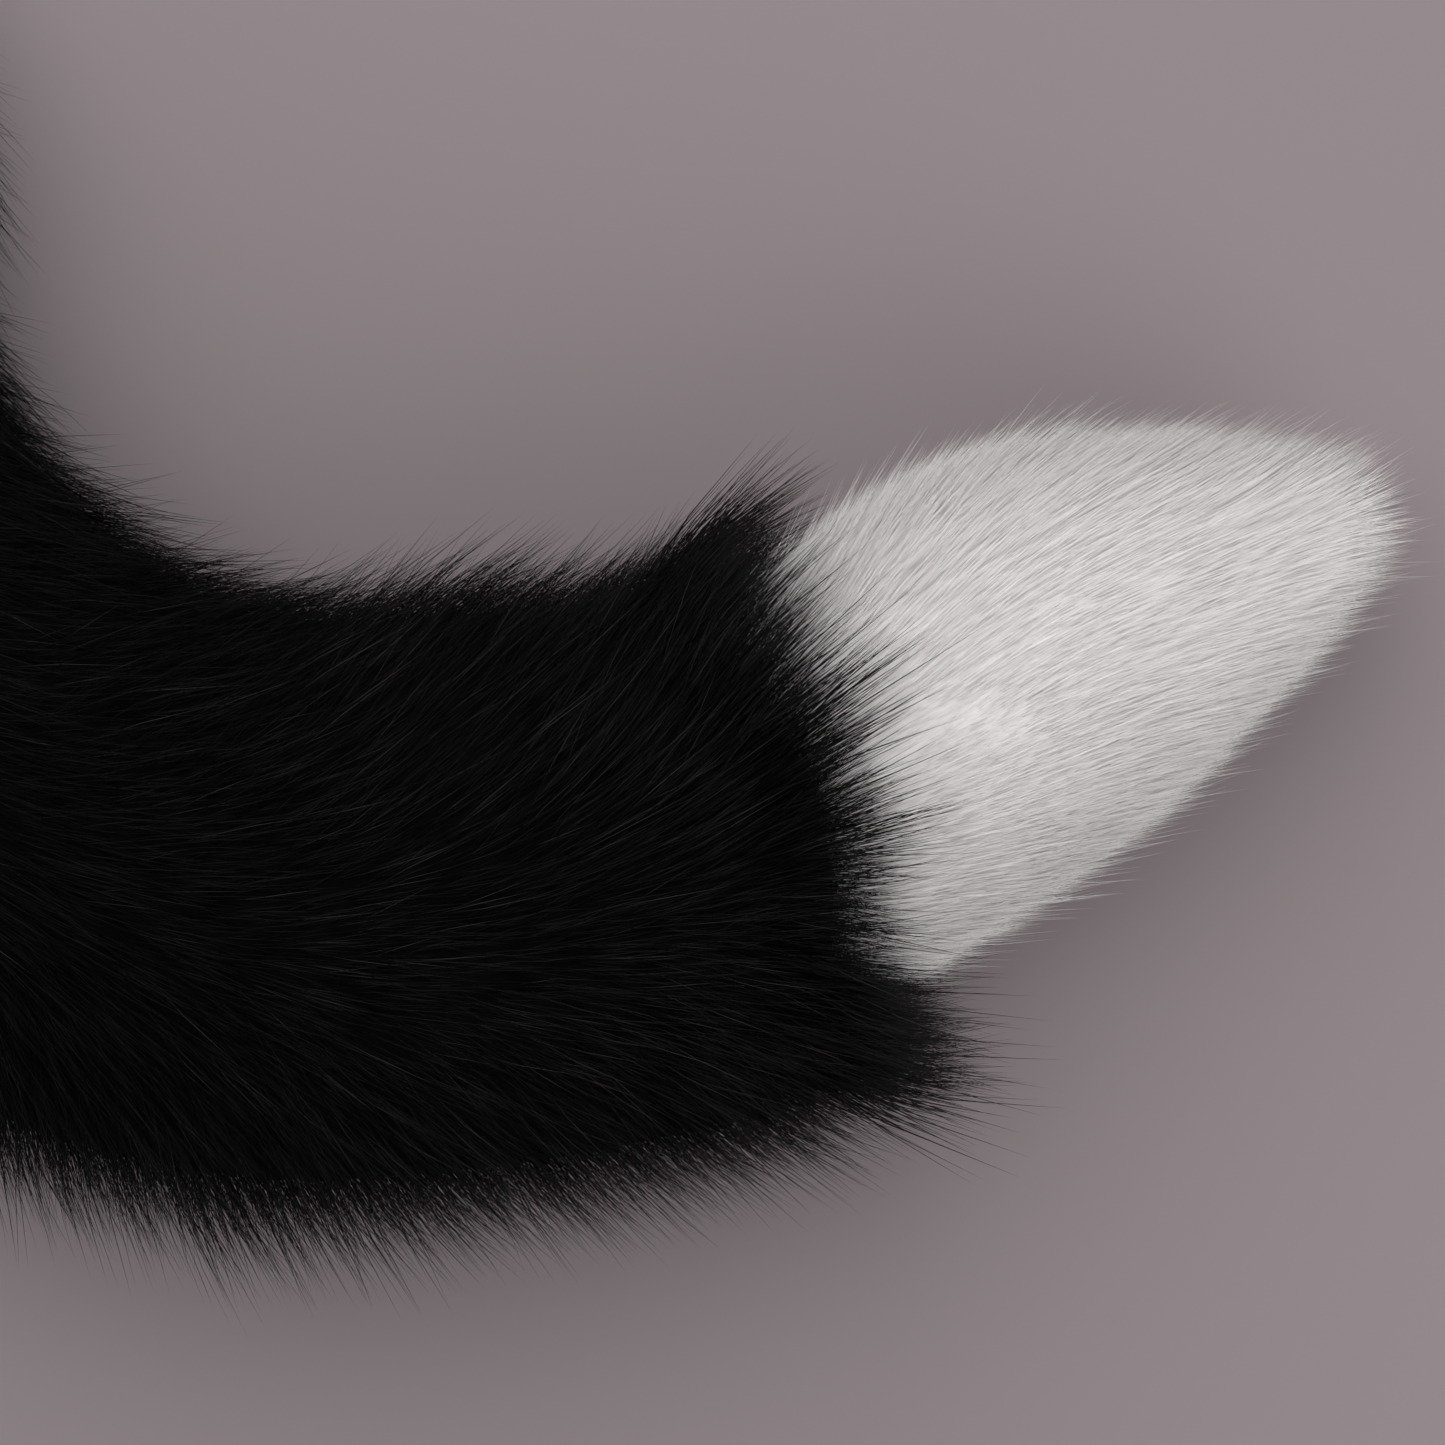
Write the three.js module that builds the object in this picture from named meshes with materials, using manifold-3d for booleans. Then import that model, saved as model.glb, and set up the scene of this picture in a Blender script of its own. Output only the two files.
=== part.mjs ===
// A long-pile costume tail lying on a table: a stuffed black fur tube that bends like a J, a white fur tip,
// a fabric disc that closes the base, and a webbing loop on the disc for the wearer's belt.
// Millimetres, +Z up, standing on z = 0. Seen from above, the base points to +Y and the white tip to +X.
import * as THREE from "three";
import { mergeVertices } from "three/addons/utils/BufferGeometryUtils.js";
import Module from "manifold-3d";

const wasm = await Module();
wasm.setup();

// Whole tail
const tailLength = 500; // along the middle line, from the base to the end of the tip
const furHalfWidth = 64; // at the widest, out to the ends of the locks
const seamAt = 0.765; // where the black fur is sewn to the white, as a share of tailLength
const settle = 1.5; // how far the stuffed core is pressed flat by its own weight
const seamGap = 0.3; // between pieces that are sewn face to face

// Black pile
const blackStand = 16; // how far the ends of the locks stand out from the core
const blackLockLength = 52;
const blackLockHalfWidth = 16;
const blackLockHalfThickness = 7;
const blackLockRows = 11;
const blackLocksAround = 10;
const blackRowsSpan = [0.012, 0.655]; // shares of tailLength
const collarLockLength = 42; // the last black locks, whose ends lie over the white fur
const collarLocksAround = 13;
const collarAt = 0.712; // share of tailLength
const collarSkew = 0.02; // how far the collar leans on past the seam on the left, and back on the right

// White pile
const whiteStand = 6;
const whiteLockLength = 34;
const whiteLockHalfWidth = 11;
const whiteLockHalfThickness = 4;
const whiteLockRows = 4;
const whiteLocksAround = 10;
const whiteRowsSpan = [0.815, 0.93];

// Both piles
const lockSink = 5; // how deep a lock is rooted in the core
const lockSides = 4;
const lockVariety = 0.3; // the longest and widest lock against the shortest and narrowest
const lockSweep = 0.25; // how far locks wander round the core, in radians
const lockFlattening = 0.4; // how much thinner a lock is at its end
const undersideFrom = 148; // degrees from the top, past which the core lies on the table and has no locks

// Stuffed core
const coreSides = 16;
const blackCoreRings = 26;
const whiteCoreRings = 12;

// Base end
const capInset = 3.6; // from the edge of the core's end to the edge of the disc
const capThickness = 2.4;
const capSides = 36;
const webbingWidth = 30;
const webbingThickness = 2.2;
const loopFoot = 13; // how far each sewn foot reaches from the middle of the disc
const loopNeck = 9; // how long the two layers of webbing lie together
const loopEyeLength = 48;
const loopEyeHeight = 15;
const loopCurveSteps = 16;

// Where the middle line heads, in degrees from +X, turning left. along is a share of tailLength.
const route = [
  { along: 0.0, heading: -90 },
  { along: 0.166, heading: -90 },
  { along: 0.558, heading: 0 },
  { along: 0.642, heading: 11 },
  { along: 0.7, heading: 22 },
  { along: 0.765, heading: 31 },
  { along: 0.8, heading: 36 },
  { along: 0.83, heading: 33 },
  { along: 0.874, heading: 24 },
  { along: 1.0, heading: 21 },
];

// Outer form of the fur. width and height are half sizes out to the ends of the locks, and rise is how far the
// core's underside is off the table, as shares of furHalfWidth. stand is a share of the pile's own stand.
const blackSections = [
  { along: 0.0, width: 0.5, height: 0.5, stand: 0.4, rise: 0 },
  { along: 0.05, width: 0.69, height: 0.67, stand: 0.8, rise: 0 },
  { along: 0.11, width: 0.83, height: 0.79, stand: 1, rise: 0 },
  { along: 0.166, width: 0.91, height: 0.86, stand: 1, rise: 0 },
  { along: 0.3, width: 1, height: 0.93, stand: 1, rise: 0 },
  { along: 0.558, width: 1, height: 0.93, stand: 1, rise: 0 },
  { along: 0.642, width: 0.99, height: 0.92, stand: 1, rise: 0 },
  { along: 0.7, width: 0.95, height: 0.89, stand: 1, rise: 0 },
  { along: 0.765, width: 0.91, height: 0.86, stand: 1, rise: 0 },
  { along: 0.86, width: 0.8, height: 0.76, stand: 1, rise: 0 },
];
const whiteSections = [
  { along: 0.765, width: 0.76, height: 0.71, stand: 1, rise: 0 },
  { along: 0.8, width: 0.8, height: 0.75, stand: 1, rise: 0.01 },
  { along: 0.83, width: 0.77, height: 0.73, stand: 1, rise: 0.03 },
  { along: 0.874, width: 0.68, height: 0.65, stand: 0.9, rise: 0.08 },
  { along: 0.917, width: 0.54, height: 0.52, stand: 0.8, rise: 0.16 },
  { along: 0.959, width: 0.35, height: 0.35, stand: 0.6, rise: 0.27 },
  { along: 0.982, width: 0.22, height: 0.22, stand: 0.4, rise: 0.36 },
  { along: 0.995, width: 0.12, height: 0.12, stand: 0.2, rise: 0.42 },
  { along: 1.0, width: 0, height: 0, stand: 0, rise: 0.48 },
];

// One lock from root to point. girth is a share of its half width and half thickness, lift of its stand.
const lockProfile = [
  { along: 0.0, girth: 0.75, lift: 0 },
  { along: 0.3, girth: 1, lift: 0.55 },
  { along: 0.7, girth: 0.62, lift: 0.88 },
  { along: 1.0, girth: 0, lift: 1 },
];

// One side of the belt loop's eye, from the neck to the far end. open is a share of half its height.
const eyeProfile = [
  { along: 0.0, open: 0 },
  { along: 0.16, open: 0.36 },
  { along: 0.36, open: 0.84 },
  { along: 0.6, open: 1 },
  { along: 0.85, open: 0.84 },
  { along: 0.97, open: 0.4 },
  { along: 1.0, open: 0 },
];

const black = { stand: blackStand, sections: blackSections };
const white = { stand: whiteStand, sections: whiteSections };

// A table's column at a place between its rows.
function read(table, column, along) {
  const last = table.length - 1;
  const next = table.findIndex((row) => row.along > along);
  if (next === 0) return table[0][column];
  if (next < 0) return table[last][column];
  const from = table[next - 1];
  const to = table[next];
  return THREE.MathUtils.mapLinear(along, from.along, to.along, from[column], to[column]);
}

// A share from 0 to 1 that differs from one number to the next, so that no two neighbours are alike.
function scatter(number) {
  const goldenShare = 0.618034;
  return (number * goldenShare + 0.31) % 1;
}

// The middle line seen from above, walked in short steps.
const routeSteps = 400;
const routePoints = [new THREE.Vector2(0, 0)];
for (let i = 0; i < routeSteps; i += 1) {
  const heading = THREE.MathUtils.degToRad(read(route, "heading", (i + 0.5) / routeSteps));
  const step = new THREE.Vector2(Math.cos(heading), Math.sin(heading));
  routePoints.push(routePoints[i].clone().addScaledVector(step, tailLength / routeSteps));
}

// The stuffed core's half sizes and the height of its middle, for one colour of fur.
function coreAt(fur, along) {
  const stand = fur.stand * read(fur.sections, "stand", along);
  const halfWidth = Math.max(furHalfWidth * read(fur.sections, "width", along) - stand, 0);
  const halfHeight = Math.max(furHalfWidth * read(fur.sections, "height", along) - stand, 0);
  const rise = furHalfWidth * read(fur.sections, "rise", along);
  return { halfWidth, halfHeight, middle: halfHeight - settle + rise };
}

// The point at a share of the length, an angle round the core (0 is up, positive to the right looking along the
// tail), and a distance out of the core.
function furPoint(fur, along, around, out) {
  const core = coreAt(fur, along);
  const step = THREE.MathUtils.clamp(along, 0, 1) * routeSteps;
  const from = Math.min(Math.floor(step), routeSteps - 1);
  const middle = routePoints[from].clone().lerp(routePoints[from + 1], step - from);
  const heading = THREE.MathUtils.degToRad(read(route, "heading", along));
  const right = Math.sin(around) * (core.halfWidth + out);
  const up = Math.cos(around) * (core.halfHeight + out);
  return new THREE.Vector3(
    middle.x + Math.sin(heading) * right,
    middle.y - Math.cos(heading) * right,
    core.middle + up,
  );
}

function corePoint(fur, along) {
  return furPoint(fur, along, 0, -coreAt(fur, along).halfHeight);
}

// Moves every point of a geometry and gives the closed solid.
function solidFrom(geometry, move = (point) => point) {
  const bare = geometry.clone();
  bare.deleteAttribute("normal");
  bare.deleteAttribute("uv");
  const position = bare.getAttribute("position");
  for (let i = 0; i < position.count; i += 1) {
    const moved = move(new THREE.Vector3().fromBufferAttribute(position, i));
    position.setXYZ(i, moved.x, moved.y, moved.z);
  }
  const merged = mergeVertices(bare, 1e-3);
  const corners = merged.index.array;
  const triangles = [];
  for (let i = 0; i < corners.length; i += 3) {
    const [a, b, c] = corners.subarray(i, i + 3);
    if (a !== b && b !== c && c !== a) triangles.push(a, b, c);
  }
  return new wasm.Manifold(
    new wasm.Mesh({
      numProp: 3,
      vertProperties: new Float32Array(merged.getAttribute("position").array),
      triVerts: new Uint32Array(triangles),
    }),
  );
}

// The stuffed core between two shares of the length, grown on every side but its far end by a clearance.
function coreSolid(fur, start, end, rings, grow) {
  const from = start - grow / tailLength;
  const profile = [new THREE.Vector2(0, from), new THREE.Vector2(1, from)];
  for (let i = 1; i <= rings; i += 1) {
    profile.push(new THREE.Vector2(1, THREE.MathUtils.lerp(start, end, i / rings)));
  }
  profile.push(new THREE.Vector2(0, end));
  return solidFrom(new THREE.LatheGeometry(profile, coreSides), (point) => {
    const around = Math.atan2(point.x, point.z);
    const edge = furPoint(fur, point.y, around, grow);
    return corePoint(fur, point.y).lerp(edge, Math.hypot(point.x, point.z));
  });
}

// One lock: a tapered horn rooted in the core, leaning along the tail and standing out of it, grown by a clearance.
function lockSolid(fur, lock, grow) {
  const profile = [new THREE.Vector2(0, 0)];
  for (const row of lockProfile) profile.push(new THREE.Vector2(row.girth, row.along));
  const stand = fur.stand * read(fur.sections, "stand", lock.along);
  const girth = coreAt(fur, lock.along).halfWidth + stand / 2;
  return solidFrom(new THREE.LatheGeometry(profile, lockSides), (point) => {
    const along = lock.along + (point.y * (lock.length + 2 * grow) - grow) / tailLength;
    const ridge = THREE.MathUtils.lerp(-lockSink, stand, read(lockProfile, "lift", point.y));
    const out = ridge + point.z * (lock.halfThickness + grow) * (1 - lockFlattening * point.y);
    const around = lock.around + (point.x * (lock.halfWidth + grow)) / girth + lock.sweep * point.y;
    return furPoint(fur, along, around, out);
  });
}

// Rows of locks, each row turned half a space from the last.
function lockRows(span, rows, locksAround, size) {
  const locks = [];
  for (let row = 0; row < rows; row += 1) {
    for (let i = 0; i < locksAround; i += 1) {
      const number = row * locksAround + i;
      const turn = 360 * ((i + (row % 2) / 2) / locksAround) - 180;
      if (Math.abs(turn) > undersideFrom) continue;
      const around = THREE.MathUtils.degToRad(turn);
      const place = THREE.MathUtils.lerp(span[0], span[1], row / Math.max(rows - 1, 1));
      locks.push({
        along: place - size.skew * Math.sin(around),
        around,
        length: size.length * (1 + lockVariety * (scatter(number) - 0.5)),
        halfWidth: size.halfWidth * (1 + lockVariety * (scatter(number + 0.5) - 0.5)),
        halfThickness: size.halfThickness,
        sweep: lockSweep * (scatter(number + 0.25) - 0.5),
      });
    }
  }
  return locks;
}

function whiteTip(grow) {
  const size = {
    length: whiteLockLength,
    halfWidth: whiteLockHalfWidth,
    halfThickness: whiteLockHalfThickness,
    skew: 0,
  };
  const locks = lockRows(whiteRowsSpan, whiteLockRows, whiteLocksAround, size);
  return wasm.Manifold.union([
    coreSolid(white, seamAt + seamGap / tailLength, 1, whiteCoreRings, grow),
    ...locks.map((lock) => lockSolid(white, lock, grow)),
  ]);
}

function blackFur() {
  const size = {
    length: blackLockLength,
    halfWidth: blackLockHalfWidth,
    halfThickness: blackLockHalfThickness,
    skew: 0,
  };
  const collarSize = { ...size, length: collarLockLength, skew: collarSkew };
  const locks = [
    ...lockRows(blackRowsSpan, blackLockRows, blackLocksAround, size),
    ...lockRows([collarAt, collarAt], 1, collarLocksAround, collarSize),
  ];
  const pile = wasm.Manifold.union([
    coreSolid(black, 0, seamAt, blackCoreRings, 0),
    ...locks.map((lock) => lockSolid(black, lock, 0)),
  ]);
  return pile.subtract(whiteTip(seamGap));
}

// Everything under the table's surface.
function belowTable() {
  const reach = 4 * tailLength;
  const depth = furHalfWidth;
  return solidFrom(new THREE.BoxGeometry(reach, reach, depth).translate(0, 0, -depth / 2));
}

// The base end's face is square to the middle line, and outward (+Y) is away from the tail.
const baseMiddle = corePoint(black, 0);
const capRadius = coreAt(black, 0).halfWidth - capInset;

function capGeometry() {
  const disc = new THREE.CylinderGeometry(capRadius, capRadius, capThickness, capSides);
  return disc.translate(baseMiddle.x, baseMiddle.y + seamGap + capThickness / 2, baseMiddle.z);
}

// The webbing loop from the side: two feet on the disc, a neck of two layers, and the eye for the belt.
function loopGeometry() {
  const eyePoint = (row) =>
    new THREE.Vector2(loopNeck + row.along * loopEyeLength, (row.open * loopEyeHeight) / 2);
  const eyeCurve = new THREE.SplineCurve(eyeProfile.map(eyePoint));
  const eyeSide = eyeCurve.getPoints(loopCurveSteps);
  const outerSide = [new THREE.Vector2(loopNeck, webbingThickness)];
  for (let i = 2; i <= loopCurveSteps; i += 1) {
    const tangent = eyeCurve.getTangent(i / loopCurveSteps);
    const away = new THREE.Vector2(-tangent.y, tangent.x);
    outerSide.push(eyeSide[i].clone().addScaledVector(away, webbingThickness));
  }
  outerSide[outerSide.length - 1].set(loopNeck + loopEyeLength + webbingThickness, 0);
  const foot = [
    new THREE.Vector2(0, loopFoot),
    new THREE.Vector2(webbingThickness, loopFoot),
    new THREE.Vector2(webbingThickness, webbingThickness),
  ];
  const upperSide = [...foot, ...outerSide];
  const mirrored = (points) => points.map((point) => new THREE.Vector2(point.x, -point.y));
  const outline = new THREE.Shape([...mirrored(upperSide), ...upperSide.slice(0, -1).reverse()]);
  outline.holes.push(new THREE.Path([...eyeSide, ...mirrored(eyeSide.slice(1, -1)).reverse()]));
  const strap = new THREE.ExtrudeGeometry(outline, { depth: webbingWidth, bevelEnabled: false });
  const sideways = new THREE.Matrix4().makeBasis(
    new THREE.Vector3(0, 1, 0),
    new THREE.Vector3(0, 0, 1),
    new THREE.Vector3(1, 0, 0),
  );
  strap.translate(0, 0, -webbingWidth / 2).applyMatrix4(sideways);
  return strap.translate(baseMiddle.x, baseMiddle.y + 2 * seamGap + capThickness, baseMiddle.z);
}

// The largest closed surface of a solid, without hollows sealed between locks and without loose crumbs.
function outerBody(solid) {
  const bodies = solid.decompose();
  return bodies.reduce((largest, body) => (body.volume() > largest.volume() ? body : largest));
}

function geometryFrom(solid) {
  const mesh = outerBody(solid).getMesh();
  const positions = new Float32Array(mesh.numVert * 3);
  for (let i = 0; i < mesh.numVert; i += 1) {
    positions.set(mesh.vertProperties.subarray(i * mesh.numProp, i * mesh.numProp + 3), i * 3);
  }
  const geometry = new THREE.BufferGeometry();
  geometry.setAttribute("position", new THREE.BufferAttribute(positions, 3));
  geometry.setIndex(new THREE.BufferAttribute(mesh.triVerts, 1));
  geometry.computeVertexNormals();
  return geometry;
}

const blackPile = new THREE.MeshStandardMaterial({ color: 0x0b0b0b, roughness: 0.85 });
const whitePile = new THREE.MeshStandardMaterial({ color: 0xe6e1df, roughness: 0.9 });
const blackFelt = new THREE.MeshStandardMaterial({ color: 0x151516, roughness: 0.95 });
const blackWebbing = new THREE.MeshStandardMaterial({ color: 0x1a1a1c, roughness: 0.8 });

function piece(name, geometry, material) {
  const mesh = new THREE.Mesh(geometry, material);
  mesh.name = name;
  return mesh;
}

const tail = new THREE.Group();
const table = belowTable();
tail.add(
  piece("black_fur", geometryFrom(blackFur().subtract(table)), blackPile),
  piece("white_tip", geometryFrom(whiteTip(0).subtract(table)), whitePile),
  piece("base_cap", capGeometry(), blackFelt),
  piece("belt_loop", loopGeometry(), blackWebbing),
);

// The origin is the middle of the whole tail's box, on the table.
const box = new THREE.Box3().setFromObject(tail, true);
const centre = box.getCenter(new THREE.Vector3());
tail.position.set(-centre.x, -centre.y, -box.min.z);

export default tail;
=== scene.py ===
# A black long-pile costume tail with a white tip, lying on a pale surface and seen from straight above.
# Metres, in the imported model's own frame: the white tip points to +X and the base with its belt loop to +Y.
import math

import bmesh
import bpy
import numpy as np
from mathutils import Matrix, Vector
from mathutils.bvhtree import BVHTree


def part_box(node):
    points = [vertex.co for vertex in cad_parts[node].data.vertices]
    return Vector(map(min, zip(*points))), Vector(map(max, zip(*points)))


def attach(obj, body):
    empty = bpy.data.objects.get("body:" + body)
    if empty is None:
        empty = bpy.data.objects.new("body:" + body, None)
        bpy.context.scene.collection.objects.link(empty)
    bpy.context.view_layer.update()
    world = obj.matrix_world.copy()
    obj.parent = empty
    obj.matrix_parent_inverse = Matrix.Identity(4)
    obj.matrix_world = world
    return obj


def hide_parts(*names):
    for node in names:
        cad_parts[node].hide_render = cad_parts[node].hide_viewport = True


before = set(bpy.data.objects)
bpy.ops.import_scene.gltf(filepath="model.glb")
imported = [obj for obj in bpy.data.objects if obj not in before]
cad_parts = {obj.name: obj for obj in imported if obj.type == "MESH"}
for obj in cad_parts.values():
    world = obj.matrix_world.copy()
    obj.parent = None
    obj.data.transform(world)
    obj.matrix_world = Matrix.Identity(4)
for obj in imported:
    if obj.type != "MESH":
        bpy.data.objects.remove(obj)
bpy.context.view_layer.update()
mm = 0.001

# The tail's middle line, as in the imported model. Both tables give a share of the length first, then a heading
# in degrees from +X, or a height as a share of halfWidth.
tail = {
    "length": 0.5,
    "halfWidth": 0.064,
    "seamAt": 0.765,
    "headings": [
        (0.0, -90), (0.166, -90), (0.558, 0), (0.642, 11), (0.7, 22),
        (0.765, 31), (0.8, 36), (0.83, 33), (0.874, 24), (1.0, 21),
    ],
    "middleHeights": [
        (0.0, 0.38), (0.05, 0.45), (0.11, 0.52), (0.166, 0.59), (0.3, 0.66), (0.642, 0.65),
        (0.765, 0.6), (0.83, 0.66), (0.874, 0.67), (0.917, 0.64), (0.959, 0.6), (1.0, 0.47),
    ],
    "steps": 500,
}

camera = {
    "height": 1.15,
    "fromBase": (0.1996, -0.1719),  # the picture's middle, sideways and lengthways from the base end
    "pictureWidth": 0.27455,  # what the picture takes in, at the tail's own height
    "atHeight": 0.05,
}

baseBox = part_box("base_cap")
baseMiddle = Vector(((baseBox[0][0] + baseBox[1][0]) / 2, baseBox[0][1], (baseBox[0][2] + baseBox[1][2]) / 2))


def linkObject(name, data):
    made = bpy.data.objects.new(name, data)
    bpy.context.scene.collection.objects.link(made)
    return made


def makeCamera(settings):
    distance = settings["height"] - settings["atHeight"]
    data = bpy.data.cameras.new("camera")
    data.lens = data.sensor_width * distance / settings["pictureWidth"]
    data.clip_end = 20
    made = linkObject("camera", data)
    x, y = settings["fromBase"]
    made.location = (baseMiddle.x + x, baseMiddle.y + y, settings["height"])
    bpy.context.scene.camera = made


makeCamera(camera)


# Node trees: small helpers that keep the trees below short

def putNode(tree, kind, inputs=None, **settings):
    made = tree.nodes.new(kind)
    for key, value in settings.items():
        setattr(made, key, value)
    for key, value in (inputs or {}).items():
        if isinstance(value, bpy.types.NodeSocket):
            tree.links.new(value, made.inputs[key])
        else:
            made.inputs[key].default_value = value
    return made


def treeOf(*values):
    return next(value.id_data for value in values if isinstance(value, bpy.types.NodeSocket))


def maths(operation, a, b=0.0, c=0.0):
    inputs = {0: a, 1: b, 2: c}
    return putNode(treeOf(a, b, c), "ShaderNodeMath", inputs, operation=operation).outputs[0]


def times(a, b):
    return maths("MULTIPLY", a, b)


def plus(a, b):
    return maths("ADD", a, b)


def minus(a, b):
    return maths("SUBTRACT", a, b)


def vectors(operation, a, b):
    return putNode(treeOf(a, b), "ShaderNodeVectorMath", {0: a, 1: b}, operation=operation).outputs[0]


def scaled(vector, amount):
    inputs = {0: vector, "Scale": amount}
    return putNode(treeOf(vector, amount), "ShaderNodeVectorMath", inputs, operation="SCALE").outputs[0]


def readNumber(tree, name, kind="FLOAT"):
    return putNode(tree, "GeometryNodeInputNamedAttribute", {"Name": name}, data_type=kind).outputs[0]


def readVector(tree, name):
    return readNumber(tree, name, "FLOAT_VECTOR")


def noise(place, detail, scale=1.0):
    inputs = {"Vector": place, "Scale": scale, "Detail": detail}
    return putNode(treeOf(place), "ShaderNodeTexNoise", inputs).outputs


def randomNumber(tree, low, high, seed):
    inputs = {2: low, 3: high, "Seed": seed}
    return putNode(tree, "FunctionNodeRandomValue", inputs, data_type="FLOAT").outputs[1]


def randomVector(tree, size, seed):
    inputs = {0: (-size, -size, -size), 1: (size, size, size), "Seed": seed}
    return putNode(tree, "FunctionNodeRandomValue", inputs, data_type="FLOAT_VECTOR").outputs[0]


# The middle line: where it runs, and which way it heads

def lookUp(table, places):
    return np.interp(places, *zip(*table))


def sampleTail():
    steps = tail["steps"]
    shares = np.linspace(0, 1, steps + 1)
    turns = np.radians(lookUp(tail["headings"], (shares[:-1] + shares[1:]) / 2))
    step = tail["length"] / steps
    xs = np.concatenate([[0], np.cumsum(np.cos(turns))]) * step + baseMiddle.x
    ys = np.concatenate([[0], np.cumsum(np.sin(turns))]) * step + baseMiddle.y
    zs = lookUp(tail["middleHeights"], shares) * tail["halfWidth"]
    return shares, np.stack([xs, ys, zs], 1), np.radians(lookUp(tail["headings"], shares))


tailShares, tailMiddles, tailTurns = sampleTail()


# The middle, the way ahead and the way to the right at some shares of the length
def placesAlong(shares):
    middles = np.stack([np.interp(shares, tailShares, tailMiddles[:, axis]) for axis in range(3)], -1)
    turns = np.interp(shares, tailShares, tailTurns)
    ahead = np.stack([np.cos(turns), np.sin(turns), np.zeros_like(turns)], -1)
    right = np.stack([np.sin(turns), -np.cos(turns), np.zeros_like(turns)], -1)
    return middles, ahead, right


def unit(rows):
    return rows / np.maximum(np.linalg.norm(rows, axis=-1, keepdims=True), 1e-9)


def readRows(items, field="vector", width=3):
    rows = np.empty(len(items) * width, np.float32)
    items.foreach_get(field, rows)
    return rows.reshape(-1, width).astype(float)


def storeNumbers(mesh, name, values, kind="FLOAT"):
    attribute = mesh.attributes.new(name, kind, "POINT")
    field = "value" if kind == "FLOAT" else "vector"
    attribute.data.foreach_set(field, np.ascontiguousarray(values, np.float32).ravel())


# The faces between the rings of a tube, whose points start at first and are listed ring by ring
def tubeFaces(bands, count, first=0):
    starts = [first + band * count for band in range(bands)]
    pairs = [(start + k, start + (k + 1) % count) for start in starts for k in range(count)]
    return [(a, b, b + count, a + count) for a, b in pairs]


# A smooth piece with its faces turned outward
def smoothPiece(name, mesh, material):
    mesh.materials.append(material)
    mesh.shade_smooth()
    shell = bmesh.new()
    shell.from_mesh(mesh)
    bmesh.ops.recalc_face_normals(shell, faces=shell.faces)
    shell.to_mesh(mesh)
    shell.free()
    print(name, "triangles", triangleCount(mesh))
    return linkObject(name, mesh)


# Turns what a piece's modifier makes into its own plain mesh
def settleMesh(piece):
    bpy.context.view_layer.update()
    graph = bpy.context.evaluated_depsgraph_get()
    made = bpy.data.meshes.new_from_object(
        piece.evaluated_get(graph), preserve_all_data_layers=True, depsgraph=graph
    )
    made.name = piece.name
    before = piece.data
    piece.modifiers.clear()
    piece.data = made
    bpy.data.meshes.remove(before)
    return made


def triangleCount(mesh):
    return sum(len(face.vertices) - 2 for face in mesh.polygons)


# Underfur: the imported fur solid's own form, felt out by rays towards the middle line and worn soft, which the
# strands stand on
underfur = {
    "sides": 60,
    "ringStep": 0.0035,
    "rayFrom": 0.085,  # how far out of the middle line the rays start
    "inside": 0.004,  # how far in from its ends a solid is felt, as a share of the length
    "softAlong": 0.013,
    "softAround": 22,  # degrees
    "lowest": 0.0006,  # the least height over the floor
    # how far the pile follows the tail's middle line instead of its own slope
    "comb": [(0, 0.45), (0.70, 0.45), (0.76, 0.7), (0.80, 0.45), (0.9, 0.45), (0.97, 0.9)],
    # what the left side gains, which is the inside of the bend
    "fullerLeft": [
        (0, 0), (0.03, 0.004), (0.07, 0.011), (0.11, 0.011), (0.17, 0.005), (0.66, 0.0035), (0.73, 0),
    ],
    # how far the seam lies ahead of its place, in metres, from the left side (-1) to the right (1)
    "seamShift": [(-1, -0.010), (-0.5, -0.007), (0, -0.007), (0.5, -0.013), (0.8, -0.019), (1, -0.016)],
    "seamFade": 0.08,
    "blunt": 2.5,  # how squarely an end is rounded: 2 is a circle's curve
    "black": {"from": 0.0, "to": 0.7645, "shrink": 0.0045, "round": 0.03, "roundTo": 0.78},
    "white": {"from": 0.7655, "to": 0.986, "shrink": 0.0050, "round": 0.07, "roundTo": 0.2},
}


def soften(grid, ringSpread, sideSpread):
    for axis, spread, edge in ((0, ringSpread, "edge"), (1, sideSpread, "wrap")):
        span = math.ceil(3 * spread)
        weights = np.exp(-0.5 * (np.arange(-span, span + 1) / spread) ** 2)
        weights /= weights.sum()
        margins = [(span, span) if each == axis else (0, 0) for each in (0, 1)]
        wide = np.pad(grid, margins, mode=edge)
        count = grid.shape[axis]
        grid = sum(weight * np.take(wide, range(k, k + count), axis) for k, weight in enumerate(weights))
    return grid


# How far the solid reaches from the middle line at each share and angle
def feelForm(node, shares, angles):
    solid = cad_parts[node].data
    shell = BVHTree.FromPolygons([v.co for v in solid.vertices], [tuple(p.vertices) for p in solid.polygons])
    middles, ahead, right = placesAlong(shares)
    reach = np.full((len(shares), len(angles)), np.nan)
    for i in range(len(shares)):
        for j, angle in enumerate(angles):
            way = Vector(right[i]) * math.sin(angle) + Vector((0, 0, math.cos(angle)))
            distance = shell.ray_cast(Vector(middles[i]) + way * underfur["rayFrom"], -way)[3]
            if distance is not None:
                reach[i, j] = underfur["rayFrom"] - distance
    missing = np.isnan(reach)
    reach[missing] = np.nanmin(reach)
    return reach


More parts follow.
